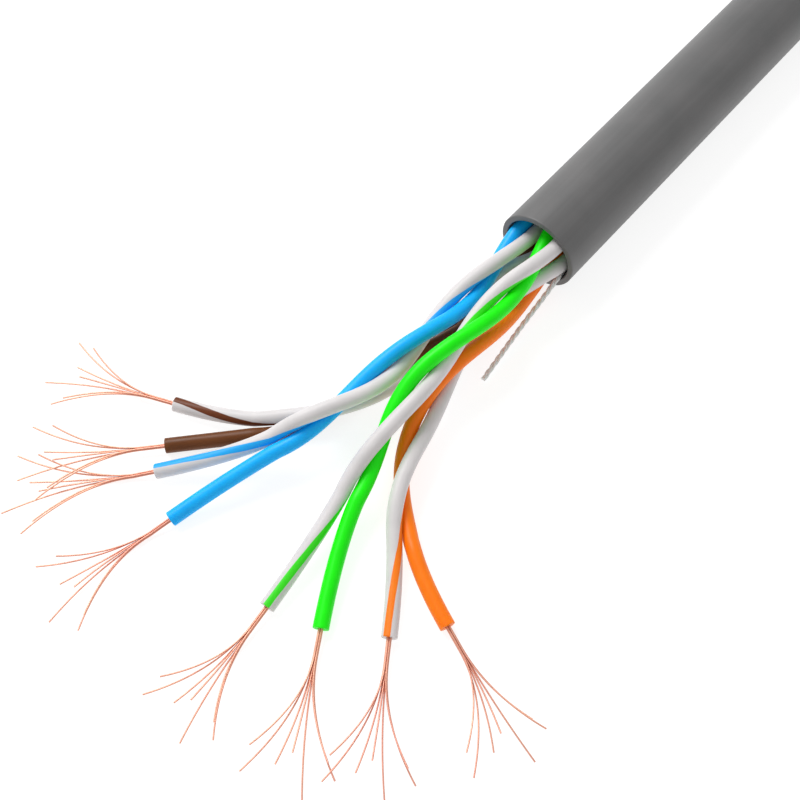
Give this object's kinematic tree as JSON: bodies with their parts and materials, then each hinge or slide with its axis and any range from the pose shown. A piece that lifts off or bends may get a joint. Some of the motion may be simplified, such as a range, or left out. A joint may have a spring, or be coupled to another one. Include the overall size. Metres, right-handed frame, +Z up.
{
  "type": "stripped network cable end",
  "caption": "End of a round data cable with its grey jacket cut back, four twisted colour-coded pairs fanned out, and flared copper strands.",
  "frame": {"origin": "centre of the jacket's cut mouth, on the cable's axis", "axes": "+Y along the jacket, away from the stripped end; +Z up from the surface that the cable lies on"},
  "size_m": [0.0363, 0.0702, 0.0054],
  "materials": {
    "grey_jacket": "soft satin extruded PVC",
    "rip_cord": "twisted polyester yarn",
    "bare_copper": "bright drawn copper wire",
    "white_blue_insulation": "extruded polyethylene, white with a blue stripe",
    "blue_insulation": "extruded polyethylene",
    "white_green_insulation": "extruded polyethylene, white with a green stripe",
    "green_insulation": "extruded polyethylene",
    "white_orange_insulation": "extruded polyethylene, white with a orange stripe",
    "orange_insulation": "extruded polyethylene",
    "white_brown_insulation": "extruded polyethylene, white with a brown stripe",
    "brown_insulation": "extruded polyethylene"
  },
  "bodies": {
    "root": {"outer_jacket": "grey_jacket", "rip_cord": "rip_cord", "insulation_white_blue": "white_blue_insulation", "insulation_blue": "blue_insulation", "insulation_white_green": "white_green_insulation", "insulation_green": "green_insulation", "insulation_white_orange": "white_orange_insulation", "insulation_orange": "orange_insulation", "insulation_white_brown": "white_brown_insulation", "insulation_brown": "brown_insulation", "conductor_white_blue": "bare_copper", "conductor_blue": "bare_copper", "conductor_white_green": "bare_copper", "conductor_green": "bare_copper", "conductor_white_orange": "bare_copper", "conductor_orange": "bare_copper", "conductor_white_brown": "bare_copper", "conductor_brown": "bare_copper"}
  },
  "joints": []
}
